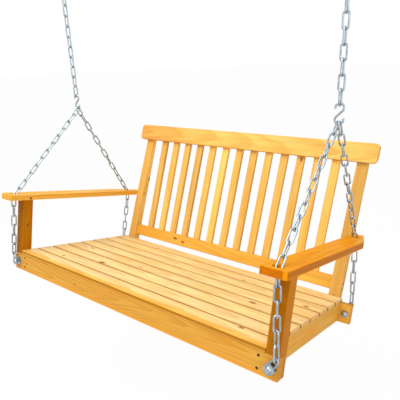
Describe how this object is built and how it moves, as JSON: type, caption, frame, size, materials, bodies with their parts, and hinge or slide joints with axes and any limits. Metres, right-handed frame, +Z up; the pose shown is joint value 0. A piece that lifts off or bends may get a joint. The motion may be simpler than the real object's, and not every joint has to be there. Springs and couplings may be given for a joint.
{
  "type": "porch swing seat",
  "caption": "Slatted wooden porch swing seat with arms and a raked back, hung on chains and S-hooks from ceiling hooks.",
  "frame": {"origin": "on the ceiling, midway between the screws of the two ceiling hooks", "axes": "+Z up, +X to the right of someone who looks at the front of the seat, +Y towards the back rest"},
  "size_m": [1.144, 0.7649, 1.3436],
  "materials": {
    "pale_pine": "pale honey pine with a satin varnish",
    "deep_pine": "deeper honey pine with a satin varnish",
    "zinc_chain": "bright zinc plated welded chain",
    "zinc_bolt": "bright zinc plated bolts, nuts and washers",
    "black_screw": "black phosphated wood screws"
  },
  "bodies": {
    "ceiling_hooks": {"ceiling_hook_left": "zinc_chain", "ceiling_hook_right": "zinc_chain"},
    "left_top_link": {"top_link_left": "zinc_chain"},
    "right_top_link": {"top_link_right": "zinc_chain"},
    "left_hanger": {"hanger_chain_left": "zinc_chain"},
    "right_hanger": {"hanger_chain_right": "zinc_chain"},
    "left_s_hook": {"s_hook_left": "zinc_chain"},
    "right_s_hook": {"s_hook_right": "zinc_chain"},
    "seat": {"arm_left": "deep_pine", "arm_post_left": "deep_pine", "arm_post_right": "deep_pine", "arm_right": "deep_pine", "arm_screws": "black_screw", "back_frame_screws": "black_screw", "back_slat_01": "pale_pine", "back_slat_02": "pale_pine", "back_slat_03": "pale_pine", "back_slat_04": "pale_pine", "back_slat_05": "pale_pine", "back_slat_06": "pale_pine", "back_slat_07": "pale_pine", "back_slat_08": "pale_pine", "back_slat_09": "pale_pine", "back_slat_10": "pale_pine", "back_slat_11": "pale_pine", "back_slat_12": "pale_pine", "back_slat_13": "pale_pine", "back_slat_screws": "black_screw", "back_stile_left": "deep_pine", "back_stile_right": "deep_pine", "centre_bearer": "pale_pine", "chain_bolt_nuts": "zinc_bolt", "chain_bolt_washers": "zinc_bolt", "chain_bolts": "zinc_bolt", "front_chain_left": "zinc_chain", "front_chain_right": "zinc_chain", "front_rail": "deep_pine", "lower_back_rail": "pale_pine", "rail_screws": "black_screw", "rear_chain_left": "zinc_chain", "rear_chain_right": "zinc_chain", "rear_rail": "pale_pine", "seat_slat_1": "pale_pine", "seat_slat_2": "pale_pine", "seat_slat_3": "pale_pine", "seat_slat_4": "pale_pine", "seat_slat_5": "pale_pine", "seat_slat_6": "pale_pine", "seat_slat_7": "pale_pine", "seat_slat_8": "pale_pine", "side_rail_left": "pale_pine", "side_rail_right": "pale_pine", "top_back_rail": "deep_pine"}
  },
  "joints": [
    {"name": "swing", "type": "hinge", "parent": "ceiling_hooks", "child": "left_top_link", "pos_m": [-0.527, 0, -0.043], "axis": [1, 0, 0], "range_deg": [-25, 25]},
    {"name": "sway", "type": "hinge", "parent": "left_top_link", "child": "left_hanger", "pos_m": [-0.527, 0, -0.07735], "axis": [0, 1, 0], "range_deg": [-8, 8]},
    {"name": "left_hook_sway", "type": "hinge", "parent": "left_hanger", "child": "left_s_hook", "pos_m": [-0.527, 0, -0.57435], "axis": [0, 1, 0], "range_deg": [-8, 8]},
    {"name": "pitch", "type": "hinge", "parent": "left_s_hook", "child": "seat", "pos_m": [-0.527, 0, -0.62025], "axis": [1, 0, 0], "range_deg": [-12, 18]},
    {"name": "right_swing", "type": "hinge", "parent": "ceiling_hooks", "child": "right_top_link", "pos_m": [0.527, 0, -0.043], "axis": [1, 0, 0], "range_deg": [-25, 25]},
    {"name": "right_sway", "type": "hinge", "parent": "right_top_link", "child": "right_hanger", "pos_m": [0.527, 0, -0.07735], "axis": [0, 1, 0], "range_deg": [-8, 8]},
    {"name": "right_hook_sway", "type": "hinge", "parent": "right_hanger", "child": "right_s_hook", "pos_m": [0.527, 0, -0.57435], "axis": [0, 1, 0], "range_deg": [-8, 8]}
  ],
  "couplings": [
    {"joint": "left_hook_sway", "follows": "sway", "ratio": -1},
    {"joint": "right_swing", "follows": "swing", "ratio": 1},
    {"joint": "right_sway", "follows": "sway", "ratio": 1},
    {"joint": "right_hook_sway", "follows": "sway", "ratio": -1}
  ]
}
